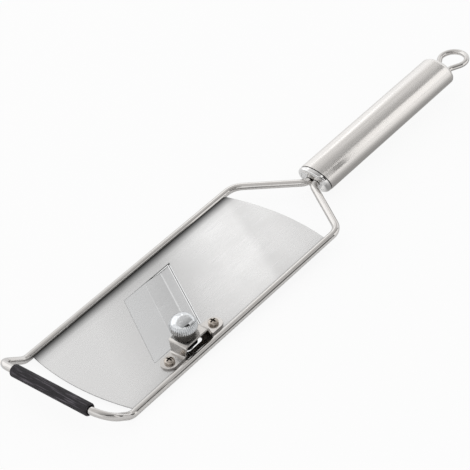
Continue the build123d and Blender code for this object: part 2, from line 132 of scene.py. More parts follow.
# Shares of the flap's tone, across the tool: painted shade on its ear under the bridge, with a painted
# bright band across it
EAR_PAINTED_LIGHT = [
    (-33, 0.10), (-30.2, 0.12), (-29.9, 1.1), (-29.0, 1.1),
    (-28.6, 0.12), (-27.4, 0.5), (-24.2, 1.0),
]

# Nodes with a finish of their own within their material slot: the flap's, with painted highlights and
# shade
FINISHES = {"thickness_flap": "flap_sheet"}

# Edges
SHARP_ANGLE = 38            # degrees, least angle of an edge that shades sharp
CUT_SHARP_ANGLE = 30        # the same on pieces that something was cut out of
BROKEN_ANGLE = 40           # least angle of an edge that is broken
BROKEN_STEPS = 2
SHEET_EDGE = 0.12 * MM      # width of the broken edges on sheet
TURNED_EDGE = 0.075 * MM    # the same on turned pieces
WELD_REACH = 0.001 * MM

# Thumb knob
FLUTES = 40
STEPS_PER_FLUTE = 8
FLUTE_DEPTH = 0.6 * MM
FLUTE_FADE = 1.3 * MM       # how far the flutes run into the dome
KNOB_EDGE = 0.4 * MM
KNOB_EDGE_STEPS = 4
BAND_STEPS = 6
DOME_RISE = 6.0 * MM        # of the dome, on a circle a little wider than the knob
DOME_EXTRA_R = 0.2 * MM
DOME_STEPS = 30
TIP = 0.01 * MM             # radius that stands for a point on an axis

# Threads
STUD_PITCH = 0.7 * MM
STUD_CREST = 1.97 * MM
STUD_ROOT = 1.55 * MM
STUD_CORE = 1.4 * MM        # in the clip's groove and at the end
SCREW_PITCH = 0.5 * MM
SCREW_CREST = 1.5 * MM
SCREW_ROOT = 1.2 * MM
FLANK_SLOPE = 1.3           # of the thread's flanks, which end in a flat crest
FLANK_SINK = 0.12           # how far they reach below the root, as a share of their height
STEPS_PER_PITCH = 8
THREAD_SIDES = 32

# Screw heads
STRIP_SHEET = 1.2 * MM      # of the bridge, which they sit on
SCREW_HEAD_D = 6.0 * MM
HEAD_BASE = 0.4             # share of the head's height below its dome
HEAD_SEAT_INSET = 0.15 * MM
HEAD_SEAT_HEIGHT = 0.2 * MM
HEAD_DOME_STEPS = 14
HEAD_SIDES = 64
RECESS_ARM = 2.3 * MM
RECESS_HALF_WIDTH = 0.55 * MM
RECESS_DEPTH = 1.7 * MM
RECESS_TOP_SHARE = 1.15     # of the recess's outline, above the head
RECESS_FOOT_SHARE = 0.5     # the same at its bottom

# Grip sleeve
WIRE_R = 2.25 * MM
SLEEVE_GAP = 0.06 * MM      # round the wire
SLEEVE_EDGE = 0.9 * MM
SLEEVE_EDGE_STEPS = 6
SLEEVE_MOUTH = 0.55 * MM    # width of the open mouth at the end
SLEEVE_THROAT = 0.1 * MM    # the same further in
THROAT_DEPTH = 1.375 * MM
MOUTH_DEPTH = 2.75 * MM
SLEEVE_SIDES = 72
SLEEVE_STEPS = 180
SLEEVE_WAVE = 0.05 * MM     # unevenness of the moulded rubber
SLEEVE_WAVES = 300          # of it in a metre

# Handle
HANDLE_LEAN = 21.2          # degrees, of both ends
HANDLE_LENGTH = 129.6 * MM
HANDLE_WALL = 1.0 * MM
SHOULDER_R = 4.2 * MM
SHOULDER_STEPS = 12
INNER_SHOULDER_STEPS = 8
LIP_R = 0.2 * MM
LIP_STEPS = 3
CAP_DEPTH = 4.0 * MM
CAP_INSET = 0.2 * MM        # the cap's radius is that much less than the tube's
CAP_BEAD_R = 2.1 * MM
CAP_BEAD_STEPS = 10
CAP_FIELD_R = 7.6 * MM
CAP_FIELD_DEPTH = 0.5 * MM
CAP_FIELD_STEPS = 4
CAP_SKIRT = 4.0 * MM
CAP_EDGE = 0.3 * MM
SEAL_HEIGHT = 0.4 * MM
SLOT_WIDTH = 9.8 * MM
SLOT_HEIGHT = 5.2 * MM
SLOT_STEPS = 12

LATHE_SIDES = 96


# Meshes


def new_piece(name, points, faces, body, slot_name, stands_for=(), finish=None):
    """Mesh object in the row frame that rides on a body and may stand for CAD nodes."""
    mesh = bpy.data.meshes.new(name)
    mesh.from_pydata(points, [], faces)
    mesh.validate()
    mesh.shade_smooth()
    mesh.set_sharp_from_angle(angle=radians(SHARP_ANGLE))
    piece = bpy.data.objects.new(name, mesh)
    bpy.context.scene.collection.objects.link(piece)
    piece.data.materials.append(materials[finish or slot_name])
    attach(piece, body)
    if stands_for:
        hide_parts(*stands_for)
    return piece


def grid_faces(rows, columns):
    """Quads between rows of points, each row a closed ring of columns points."""
    faces = []
    for row in range(rows - 1):
        below, above = row * columns, (row + 1) * columns
        for column in range(columns):
            beside = (column + 1) % columns
            faces.append((below + column, below + beside, above + beside, above + column))
    return faces


def closed_faces(rows, columns):
    """The same quads, with a face over the first row and one over the last."""
    first = tuple(reversed(range(columns)))
    last = tuple(range((rows - 1) * columns, rows * columns))
    return [*grid_faces(rows, columns), first, last]


def rings(centre, profile, sides, radius_at=None):
    """Rings of points round the upright line through centre, one for each (radius, height)."""
    points = []
    for row, (radius, height) in enumerate(profile):
        for side in range(sides):
            angle = 2 * pi * side / sides
            reach = radius_at(row, radius, height, angle) if radius_at else radius
            points.append((centre.x + reach * cos(angle), centre.y + reach * sin(angle), height))
    return points


def turned(centre, profile, sides=LATHE_SIDES, radius_at=None):
    """Points and faces of a turned form whose profile starts and ends on the axis."""
    return rings(centre, profile, sides, radius_at), closed_faces(len(profile), sides)


def arc_profile(start, end, centre, steps):
    """Points of (radius, height) on a quarter of an ellipse round centre, from start to end."""
    spread_r = max(abs(start[0] - centre[0]), abs(end[0] - centre[0]))
    spread_h = max(abs(start[1] - centre[1]), abs(end[1] - centre[1]))
    begin = atan2((start[1] - centre[1]) / spread_h, (start[0] - centre[0]) / spread_r)
    finish = atan2((end[1] - centre[1]) / spread_h, (end[0] - centre[0]) / spread_r)
    return [
        (
            centre[0] + spread_r * cos(begin + (finish - begin) * step / steps),
            centre[1] + spread_h * sin(begin + (finish - begin) * step / steps),
        )
        for step in range(steps + 1)
    ]


def middle_of(node):
    """Middle of a node's box."""
    low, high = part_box(node)
    return (low + high) / 2


# Materials


class Paint:
    """One material, built by short calls on its nodes."""

    def __init__(self, name, **sockets):
        self.material = bpy.data.materials.new(name)
        self.material.use_nodes = True
        self.tree = self.material.node_tree
        self.shader = self.tree.nodes["Principled BSDF"]
        self.place = self.add("ShaderNodeTexCoord").outputs["Object"]
        self.relief = None
        for socket, value in sockets.items():
            self.shader.inputs[socket.replace("_", " ")].default_value = value

    def add(self, kind, sockets=None, **settings):
        """New node; a socket gets a link or a plain value."""
        node = self.tree.nodes.new(kind)
        for key, value in settings.items():
            setattr(node, key, value)
        for key, value in (sockets or {}).items():
            self.give(node.inputs[key], value)
        return node

    def give(self, socket, value):
        """Links the socket to another socket, or sets its plain value."""
        if isinstance(value, bpy.types.NodeSocket):
            self.tree.links.new(value, socket)
        else:
            socket.default_value = value

    def grain(self, size, stretch=(1, 1, 1), detail=3.0, seed=0.0):
        """Noise from 0 to 1 with grains of that size in metres, times stretch on each axis."""
        scaled = self.add(
            "ShaderNodeMapping",
            {
                "Vector": self.place,
                "Scale": [1 / (size * factor) for factor in stretch],
                "Location": (seed, seed, seed),
            },
        )
        sockets = {"Vector": scaled.outputs["Vector"], "Scale": 1.0, "Detail": detail}
        return self.add("ShaderNodeTexNoise", sockets).outputs["Fac"]

    def between(self, value, low, high, start=0.3, end=0.7):
        """Value carried from start..end to low..high."""
        made = self.add(
            "ShaderNodeMapRange",
            {"Value": value, "From Min": start, "From Max": end, "To Min": low, "To Max": high},
        )
        return made.outputs["Result"]

    def steps(self, value, stops):
        """Grey that follows (millimetres, tone) stops along a value in metres."""
        first, last = stops[0][0] * MM, stops[-1][0] * MM
        made = self.add("ShaderNodeValToRGB", {"Fac": self.between(value, 0.0, 1.0, first, last)})
        elements = made.color_ramp.elements
        elements[0].color, elements[1].color = grey(stops[0][1]), grey(stops[-1][1])
        for place, tone in stops[1:-1]:
            elements.new((place * MM - first) / (last - first)).color = grey(tone)
        return made.outputs["Color"]

    def blend(self, value, first, second, way="MIX"):
        """Colour from first to second as value goes from 0 to 1."""
        made = self.add("ShaderNodeMix", {0: value, 6: first, 7: second}, data_type="RGBA", blend_type=way)
        return made.outputs[2]

    def multiply(self, first, second):
        """Product of two colours."""
        return self.blend(1.0, first, second, "MULTIPLY")

    def times(self, first, second):
        """Product of two values."""
        return self.add("ShaderNodeMath", {0: first, 1: second}, operation="MULTIPLY").outputs[0]

    def sum(self, first, second):
        """Sum of two values."""
        return self.add("ShaderNodeMath", {0: first, 1: second}, operation="ADD").outputs[0]

    def raise_by(self, height, depth, strength=1.0):
        """Relief of that depth in metres, on top of the relief so far."""
        sockets = {"Height": height, "Distance": depth, "Strength": strength}
        if self.relief:
            sockets["Normal"] = self.relief
        self.relief = self.add("ShaderNodeBump", sockets).outputs["Normal"]
        self.give(self.shader.inputs["Normal"], self.relief)

    def set(self, socket, value):
        """Gives a socket of the shader a link or a plain value."""
        self.give(self.shader.inputs[socket], value)

    def apart(self, value):
        """X, Y and Z of a vector."""
        return self.add("ShaderNodeSeparateXYZ", {0: value}).outputs

    def inner_side(self, middle_x):
        """1 on faces that look down or towards the upright plane at middle_x, else 0."""
        place = self.apart(self.place)
        normal = self.apart(self.add("ShaderNodeNewGeometry").outputs["Normal"])
        away = self.times(self.sum(place[0], -middle_x), normal[0])
        sideways = self.between(away, 1.0, 0.0, -0.006, -0.002)
        return self.sum(sideways, self.between(normal[2], 1.0, 0.0, -0.7, -0.4))

    def brush_along(self, direction):
        """Direction of the brush strokes, which stretch highlights across them."""
        way = self.add("ShaderNodeCombineXYZ", dict(zip("XYZ", direction)))
        self.set("Tangent", way.outputs[0])


def grey(value, warmth=0.0):
    """Colour near grey; warmth lifts red and lowers blue."""
    return (value * (1 + warmth), value, value * (1 - warmth), 1.0)


def polished_wire():
    """Drawn and polished wire: faint lines along it and small dull patches."""
    paint = Paint("polished_wire", Metallic=1.0, Roughness=0.12)
    patch = paint.grain(6 * MM, detail=5.0)
    fine = paint.grain(0.25 * MM, stretch=(8, 8, 8), detail=2.0)
    paint.set("Base Color", paint.blend(patch, grey(0.62, 0.035), grey(0.70, 0.02)))
    paint.set("Roughness", paint.between(patch, 0.07, 0.15))
    paint.raise_by(fine, 0.004 * MM, 0.5)
    return paint.material


def satin(name, shade, warmth):
    """Sheet with a fine satin grain along the tool, soft bands of painted sheen, and painted shade by
    place.
    """
    paint = Paint(name, Metallic=1.0, Roughness=0.3, Anisotropic=0.5)
    along, aside, _ = paint.apart(paint.place)
    stroke = paint.grain(0.35 * MM, stretch=(60, 1, 1), detail=4.0)
    cloud = paint.grain(30 * MM, detail=3.0, seed=4.0)
    # painted sheen: bands of reflected light put into the colour by place
    sheen = paint.steps(paint.sum(along, paint.times(aside, -BAND_SKEW)), SHEET_PAINTED_SHEEN)
    lines = paint.blend(stroke, grey(0.96, warmth), grey(1.04, warmth))
    paint.set("Base Color", paint.multiply(paint.multiply(sheen, shade(paint, along, aside)), lines))
    paint.set("Roughness", paint.sum(paint.between(stroke, 0.24, 0.32), paint.between(cloud, -0.02, 0.04)))
    paint.raise_by(stroke, 0.003 * MM, 0.5)
    paint.brush_along((1, 0, 0))
    return paint.material


def behind_blade(paint, along, aside):
    """Distance behind the slanted line of the blade."""
    slant = radians(BLADE_SLANT)
    return paint.sum(paint.times(along, cos(slant)), paint.times(aside, -sin(slant)))


def satin_sheet():
    """Satin of the plate, with painted shade along the rails."""
    return satin("satin_sheet", lambda paint, along, aside: paint.steps(aside, RAIL_PAINTED_SHADE), 0.004)


def flap_sheet():
    """Satin of the flap: cooler, with painted highlights and shade along its folds and painted shade on
    its ear.
    """

    def shade(paint, along, aside):
        # painted highlights and shade along the folds
        fold_light = paint.steps(behind_blade(paint, along, aside), FLAP_PAINTED_LIGHT)
        # painted shade and a painted bright band on the ear
        return paint.multiply(fold_light, paint.steps(aside, EAR_PAINTED_LIGHT))

    return satin("flap_sheet", shade, -0.004)


def blade_steel():
    """Ground steel, a little bluer, with grinding lines across the edge and painted shade in a band along
    the edge.
    """
    paint = Paint("blade_steel", Metallic=1.0, Roughness=0.2, Anisotropic=0.3)
    line = paint.grain(0.15 * MM, stretch=(30, 1, 1), detail=3.0)
    along, aside, _ = paint.apart(paint.place)
    # painted shade in a band along the blade's edge
    edge_shade = paint.steps(behind_blade(paint, along, aside), BLADE_EDGE_PAINTED_SHADE)
    ground = paint.blend(line, grey(0.92, -0.004), grey(1.02, -0.008))
    paint.set("Base Color", paint.multiply(edge_shade, ground))
    paint.set("Roughness", paint.between(line, 0.14, 0.26))
    paint.raise_by(line, 0.003 * MM, 0.5)
    paint.brush_along((1, 0, 0))
    return paint.material


def plain_hardware():
    """Plain bright turned steel."""
    paint = Paint("plain_hardware", Metallic=1.0, Roughness=0.25)
    patch = paint.grain(1.2 * MM, detail=4.0)
    paint.set("Base Color", paint.blend(patch, grey(0.52, 0.01), grey(0.66, 0.01)))
    paint.set("Roughness", paint.between(patch, 0.2, 0.36))
    paint.raise_by(patch, 0.006 * MM, 0.4)
    return paint.material


def polished_strip():
    """Strip polished on its outer side only; its inner side and underside are rougher and painted dark as
    shade.
    """
    paint = Paint("polished_strip", Metallic=1.0, Roughness=0.2)
    patch = paint.grain(3 * MM, detail=4.0)
    scratch = paint.grain(0.12 * MM, stretch=(1, 25, 25), detail=2.0)
    # painted shade on the faces that look inward or down
    inner = paint.inner_side(middle_of("adjuster_bridge").x)
    polish = paint.blend(patch, grey(0.48, 0.045), grey(0.60, 0.03))
    paint.set("Base Color", paint.blend(inner, polish, grey(0.075, 0.22)))
    paint.set("Roughness", paint.sum(paint.between(patch, 0.16, 0.26), paint.times(inner, 0.3)))
    paint.raise_by(scratch, 0.002 * MM, 0.5)
    return paint.material


def bright_hardware():
    """Polished plated metal with faint dull specks."""
    paint = Paint("bright_hardware", Metallic=1.0, Roughness=0.08)
    patch = paint.grain(1.1 * MM, detail=5.0)
    dull = paint.between(patch, 0.0, 1.0)
    paint.set("Base Color", paint.blend(dull, grey(0.64, -0.025), grey(0.86, -0.02)))
    paint.set("Roughness", paint.between(patch, 0.05, 0.12))
    paint.raise_by(patch, 0.022 * MM, 0.5)
    return paint.material


def screw_heads():
    """Plain screw steel with a brownish film."""
    paint = Paint("screw_heads", Metallic=1.0, Roughness=0.2)
    patch = paint.grain(0.8 * MM, detail=4.0)
    film = paint.between(patch, 0.0, 1.0)
    paint.set("Base Color", paint.blend(film, grey(0.36, 0.16), grey(0.56, 0.08)))
    paint.set("Roughness", paint.between(patch, 0.14, 0.3))
    paint.raise_by(patch, 0.02 * MM, 0.5)
    return paint.material


def recess_shade():
    """Rough steel painted dark as shade, for hollows: the recess of a screw head and the cap's slot for
    the wires.
    """
    paint = Paint("recess_shade", Metallic=1.0, Roughness=0.45)
    patch = paint.grain(0.3 * MM, detail=3.0)
    paint.set("Base Color", paint.blend(patch, grey(0.03, 0.25), grey(0.10, 0.2)))
    paint.raise_by(patch, 0.01 * MM, 0.4)
    return paint.material


def dark_collar():
    """Dark grey smooth polymer."""
    paint = Paint("dark_collar", Roughness=0.42)
    speck = paint.grain(0.3 * MM, detail=4.0)
    paint.set("Base Color", paint.blend(speck, grey(0.07, 0.06), grey(0.12, 0.05)))
    paint.set("Roughness", paint.between(speck, 0.35, 0.5))
    paint.raise_by(speck, 0.01 * MM, 0.4)
    return paint.material


def black_rubber():
    """Moulded rubber: mottled grain, and scuffs that run along the sleeve."""
    paint = Paint("black_rubber", Roughness=0.62, Specular_IOR_Level=0.3)
    grain = paint.grain(0.22 * MM, detail=3.0)
    mottle = paint.grain(1.1 * MM, stretch=(1, 2.2, 1), detail=4.0, seed=2.0)
    scuff = paint.grain(0.8 * MM, stretch=(1, 14, 1), detail=4.0, seed=7.0)
    worn = paint.between(scuff, 0.0, 1.0, 0.54, 0.68)
    pale = paint.between(mottle, 0.0, 1.0)
    base = paint.blend(pale, (0.011, 0.010, 0.012, 1), (0.030, 0.026, 0.031, 1))
    paint.set("Base Color", paint.blend(worn, base, (0.105, 0.095, 0.110, 1)))
    paint.set("Roughness", paint.between(mottle, 0.52, 0.74))
    paint.raise_by(grain, 0.02 * MM, 0.5)
    paint.raise_by(mottle, 0.05 * MM, 0.5)
    return paint.material


def seal_rubber():
    """Thin dark ring of rubber."""
    paint = Paint("seal_rubber", Roughness=0.6)
    speck = paint.grain(0.3 * MM, detail=3.0)
    paint.set("Base Color", paint.blend(speck, grey(0.02), grey(0.045)))
    paint.raise_by(speck, 0.01 * MM, 0.4)
    return paint.material


def brushed_tube():
    """Tube brushed along its length."""
    paint = Paint("brushed_tube", Metallic=1.0, Roughness=0.26, Anisotropic=0.55)
    wide = paint.grain(0.9 * MM, stretch=(60, 1, 1), detail=3.0)
    fine = paint.grain(0.22 * MM, stretch=(90, 1, 1), detail=3.0, seed=3.0)
    both = paint.sum(paint.times(wide, 0.5), paint.times(fine, 0.5))
    tone = paint.between(both, 0.0, 1.0, 0.38, 0.62)
    paint.set("Base Color", paint.blend(tone, grey(0.80, 0.028), grey(0.87, 0.022)))
    paint.set("Roughness", paint.between(both, 0.22, 0.32, 0.38, 0.62))
    paint.raise_by(fine, 0.0022 * MM, 0.5)
    paint.brush_along((1, 0, 0))
    return paint.material


def polished_cap():
    """Turned and polished cap with faint uneven patches."""
    paint = Paint("polished_cap", Metallic=1.0, Roughness=0.1)
    patch = paint.grain(3 * MM, detail=4.0)
    paint.set("Base Color", paint.blend(patch, grey(0.80, 0.004), grey(0.88, 0.003)))
    paint.set("Roughness", paint.between(patch, 0.07, 0.15))
    paint.raise_by(patch, 0.01 * MM, 0.3)
    return paint.material


def inner_plug():
    """Grey moulded plastic."""
    paint = Paint("inner_plug", Roughness=0.5)
    speck = paint.grain(0.4 * MM, detail=3.0)
    paint.set("Base Color", paint.blend(speck, grey(0.20), grey(0.28)))
    paint.raise_by(speck, 0.01 * MM, 0.4)
    return paint.material


materials = {
    make.__name__: make()
    for make in (
        polished_wire,
        satin_sheet,
        flap_sheet,
        blade_steel,
        plain_hardware,
        polished_strip,
        bright_hardware,
        screw_heads,
        recess_shade,
        dark_collar,
        black_rubber,
        seal_rubber,
        brushed_tube,
        polished_cap,
        inner_plug,
    )
}
for part in frame["record"]["subparts"]:
    chosen = FINISHES.get(part["node"], part["material_slot"])
    for shown in nodes[part["node"]].material_slots:
        shown.material = materials[chosen]


# Broken edges on the sheet and turned nodes


def break_edges(node, width):
    """Narrow rounded edges on a CAD node."""
    weld = nodes[node].modifiers.new("weld", "WELD")
    weld.merge_threshold = WELD_REACH
    edge = nodes[node].modifiers.new("edges", "BEVEL")
    edge.width = width
    edge.segments = BROKEN_STEPS
    edge.limit_method = "ANGLE"
    edge.angle_limit = radians(BROKEN_ANGLE)
    edge.harden_normals = True


for node_name in ("slicing_plate", "thickness_flap", "adjuster_bridge"):
    break_edges(node_name, SHEET_EDGE)
for node_name in ("knob_collar", "bridge_nuts", "lock_washers", "ear_nut", "stud_clip"):
    break_edges(node_name, TURNED_EDGE)


# Thumb knob


def make_knob():
    """Knob whose flutes run up from its base and fade into the polished dome."""
    low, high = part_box("thumb_knob")
    rim = (high.x - low.x) / 2
    stud_low, stud_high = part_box("knob_stud")
    bore = (stud_high.x - stud_low.x) / 2
    dome_r = rim + DOME_EXTRA_R
    ball = (dome_r**2 + DOME_RISE**2) / (2 * DOME_RISE)
    ball_z = high.z - ball
    band_top = ball_z + sqrt(ball**2 - rim**2)
    under = [(TIP, stud_high.z), (bore, stud_high.z), (bore, low.z)]
    inset, band_foot = rim - KNOB_EDGE, low.z + KNOB_EDGE
    under += arc_profile((inset, low.z), (rim, band_foot), (inset, band_foot), KNOB_EDGE_STEPS)
    first_fluted = len(under) - KNOB_EDGE_STEPS - 1
    band_step = (band_top - band_foot) / BAND_STEPS
    band = [(rim, band_foot + band_step * step) for step in range(1, BAND_STEPS + 1)]
    reaches = [rim * cos(pi / 2 * step / DOME_STEPS) for step in range(1, DOME_STEPS + 1)]
    dome = [(max(reach, TIP), ball_z + sqrt(ball**2 - reach**2)) for reach in reaches]

    def radius_at(row, radius, height, angle):
        if row < first_fluted or radius < rim - FLUTE_FADE:
            return radius
        groove = (0.5 + 0.5 * cos(FLUTES * angle)) ** 2
        fade = 1 - (rim - radius) / FLUTE_FADE if height > band_top else 1.0
        return radius - FLUTE_DEPTH * groove * fade

    profile = under + band + dome
    points, faces = turned(middle_of("thumb_knob"), profile, FLUTES * STEPS_PER_FLUTE, radius_at)
    new_piece("knob_fluted", points, faces, "knob", "bright_hardware", ["thumb_knob"])


make_knob()


# Threads


def threaded_rod(name, centre, low, high, crest, root, pitch, body, slot_name, limit_at, stands_for=()):
    """Rod with a screw thread from low to high, never outside limit_at(height)."""
    count = round((high - low) / pitch * STEPS_PER_PITCH)
    profile = [(crest, low + (high - low) * step / count) for step in range(count + 1)]

    def radius_at(row, radius, height, angle):
        turn = (height / pitch - angle / (2 * pi)) % 1
        ridge = 1 - abs(2 * turn - 1)
        rise = min(1.0, max(0.0, ridge * FLANK_SLOPE - FLANK_SINK))
        return min(root + (crest - root) * rise, limit_at(height))

    points, faces = turned(centre, profile, THREAD_SIDES, radius_at)
    new_piece(name, points, faces, body, slot_name, stands_for)


def make_stud():
    """Threaded stud of the knob with a broken end and a groove for its clip."""
    low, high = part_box("knob_stud")
    clip_low, clip_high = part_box("stud_clip")

    def limit_at(height):
        if clip_low.z <= height <= clip_high.z:
            return STUD_CORE
        return min(STUD_CORE + (height - low.z), STUD_CREST)

    threaded_rod(
        "stud_thread",
        middle_of("knob_stud"),
        low.z,
        high.z,
        STUD_CREST,
        STUD_ROOT,
        STUD_PITCH,
        "knob",
        "plain_hardware",
        limit_at,
        ["knob_stud"],
    )


make_stud()


# Screws


def cutter_from(points, faces):
    """Closed helper form for a cut."""
    mesh = bpy.data.meshes.new("cutter")
    mesh.from_pydata(points, [], faces)
    shape = bmesh.new()
    shape.from_mesh(mesh)
    bmesh.ops.recalc_face_normals(shape, faces=shape.faces)
    shape.to_mesh(mesh)
    shape.free()
    cutter = bpy.data.objects.new("cutter", mesh)
    bpy.context.scene.collection.objects.link(cutter)
    return cutter


def cut_away(piece, cutter, inside):
    """Takes the cutter out of the piece, whose new faces get the inside material as its second one."""
    piece.data.materials.append(materials[inside])
    cutter.data.materials.append(materials[inside])
    cutter.data.materials.append(materials[inside])
    cutter.data.polygons.foreach_set("material_index", [1] * len(cutter.data.polygons))
    cut = piece.modifiers.new("cut", "BOOLEAN")
    cut.operation = "DIFFERENCE"
    cut.solver = "EXACT"
    cut.object = cutter
    shaped = bpy.data.meshes.new_from_object(piece.evaluated_get(bpy.context.evaluated_depsgraph_get()))
    piece.modifiers.clear()
    piece.data = shaped
    shaped.shade_smooth()
    shaped.set_sharp_from_angle(angle=radians(CUT_SHARP_ANGLE))
    bpy.data.objects.remove(cutter)


def cross_cutter(centre, top, foot):
    """Tapered cross that leaves a driver's recess."""
    arm, half = RECESS_ARM, RECESS_HALF_WIDTH
    corner = [(arm, -half), (arm, half), (half, half)]
    quarters = [Matrix.Rotation(quarter * pi / 2, 2) for quarter in range(4)]
    outline = [quarter @ Vector(point) for quarter in quarters for point in corner]
    points = []
    for height, share in ((top, RECESS_TOP_SHARE), (foot, RECESS_FOOT_SHARE)):
        points += [(centre.x + share * point.x, centre.y + share * point.y, height) for point in outline]
    return cutter_from(points, closed_faces(2, len(outline)))


def make_screw(name, centre):
    """Domed screw head with a cross recess, on a threaded shank."""
    low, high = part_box("bridge_screws")
    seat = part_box("adjuster_bridge")[0].z + STRIP_SHEET
    head_r = SCREW_HEAD_D / 2
    shoulder = seat + (high.z - seat) * HEAD_BASE
    core = [(TIP, low.z + SCREW_PITCH), (SCREW_ROOT, low.z + SCREW_PITCH), (SCREW_ROOT, seat)]
    rim = [(SCREW_CREST, seat), (head_r - HEAD_SEAT_INSET, seat), (head_r, seat + HEAD_SEAT_HEIGHT)]
    dome = arc_profile((head_r, shoulder), (0.0, high.z), (0.0, shoulder), HEAD_DOME_STEPS)
    profile = [(max(radius, TIP), height) for radius, height in core + rim + dome]
    points, faces = turned(centre, profile, HEAD_SIDES)
    piece = new_piece(name, points, faces, "frame", "plain_hardware", ["bridge_screws"], "screw_heads")
    # the recess gets the painted shade of the hollows
    cut_away(piece, cross_cutter(centre, high.z + RECESS_DEPTH / 2, high.z - RECESS_DEPTH), "recess_shade")
    threaded_rod(
        name + "_thread",
        centre,
        low.z,
        seat,
        SCREW_CREST,
        SCREW_ROOT,
        SCREW_PITCH,
        "frame",
        "plain_hardware",
        lambda height: min(SCREW_CREST, SCREW_ROOT + height - low.z),
    )


screws_low, screws_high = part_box("bridge_screws")
screw_xs = (screws_low.x + SCREW_HEAD_D / 2, screws_high.x - SCREW_HEAD_D / 2)
for number, screw_x in enumerate(screw_xs, 1):
    make_screw(f"screw_{number}", Vector((screw_x, middle_of("bridge_screws").y, 0)))


# Handle

grip = next(mount for mount in frame["record"]["mounts"] if mount["name"] == "handle_grip")
grip_middle, grip_way = Vector(grip["pos_m"]), Vector(grip["axis"])
grip_up = grip_way.cross(Vector((0, 1, 0)))
handle_r = grip["dims"]["r_mm"] * MM
lean = tan(radians(HANDLE_LEAN))
front_top = (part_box("handle_tube")[0].x - grip_middle.x - grip_up.x * handle_r) / grip_way.x
tube_front = front_top + handle_r * lean


def on_handle(station, side, height):
    """Point beside the handle's axis, counted along it from the middle of the grip."""
    return grip_middle + grip_way * station + Vector((0, side, 0)) + grip_up * height


def leaning(name, profile, slot_name, stands_for):
    """Round form along the handle whose ends all lean alike; the profile is (station, radius)."""
    points = []
    for station, radius in profile:
        for step in range(LATHE_SIDES):
            angle = 2 * pi * step / LATHE_SIDES
            height = radius * sin(angle)
            points.append(on_handle(station - height * lean, radius * cos(angle), height))
    faces = closed_faces(len(profile), LATHE_SIDES)
    return new_piece(name, points, faces, "frame", slot_name, stands_for)


def make_tube():
    """Thin round tube, open in front and closed with a rounded end behind."""
    front, rear = tube_front, tube_front + HANDLE_LENGTH
    bore = handle_r - HANDLE_WALL
    inner = arc_profile(
        (rear - HANDLE_WALL, handle_r - SHOULDER_R),
        (rear - SHOULDER_R, bore),
        (rear - SHOULDER_R, handle_r - SHOULDER_R),
        INNER_SHOULDER_STEPS,
    )
    lip = arc_profile(
        (front, handle_r - LIP_R),
        (front + LIP_R, handle_r),
        (front + LIP_R, handle_r - LIP_R),
        LIP_STEPS,
    )
    outer = arc_profile(
        (rear - SHOULDER_R, handle_r),
        (rear, handle_r - SHOULDER_R),
        (rear - SHOULDER_R, handle_r - SHOULDER_R),
        SHOULDER_STEPS,
    )
    profile = [(rear - HANDLE_WALL, TIP), *inner, (front, bore), *lip, *outer, (rear, TIP)]
    leaning("handle_shell", profile, "brushed_tube", ["handle_tube"])


def slot_cutter(start, end):
    """Prism with round ends along the handle, for the two wires."""
    outline = []
    for end_side in (1, -1):
        for step in range(SLOT_STEPS + 1):
            angle = -pi / 2 + pi * step / SLOT_STEPS
            across = end_side * (SLOT_WIDTH - SLOT_HEIGHT) / 2 + end_side * SLOT_HEIGHT / 2 * cos(angle)
            outline.append((across, end_side * SLOT_HEIGHT / 2 * sin(angle)))
    points = [on_handle(station, *spot) for station in (start, end) for spot in outline]
    return cutter_from(points, closed_faces(2, len(outline)))


def make_cap():
    """Polished cap with a round bead, a sunk field and a slot for the wires."""
    rear, front = tube_front - SEAL_HEIGHT, tube_front - CAP_DEPTH
    cap_r = handle_r - CAP_INSET
    skirt_r = handle_r - HANDLE_WALL - LIP_R
    bead = arc_profile(
        (front + CAP_BEAD_R, cap_r),
        (front, cap_r - CAP_BEAD_R),
        (front + CAP_BEAD_R, cap_r - CAP_BEAD_R),
        CAP_BEAD_STEPS,
    )
    field_edge = arc_profile(
        (front, CAP_FIELD_R + CAP_FIELD_DEPTH),
        (front + CAP_FIELD_DEPTH, CAP_FIELD_R),
        (front, CAP_FIELD_R),
        CAP_FIELD_STEPS,
    )
    profile = [
        (tube_front + CAP_SKIRT, TIP),
        (tube_front + CAP_SKIRT, skirt_r),
        (rear, skirt_r),
        (rear, cap_r - CAP_EDGE),
        (rear - CAP_EDGE, cap_r),
        *bead,
        *field_edge,
        (front + CAP_FIELD_DEPTH, TIP),
    ]
    piece = leaning("handle_front", profile, "polished_cap", ["handle_cap"])
    # the slot's walls get the painted shade of the hollows
    cut_away(piece, slot_cutter(front - handle_r, tube_front + 2 * handle_r), "recess_shade")


make_tube()
make_cap()


# Grip sleeve


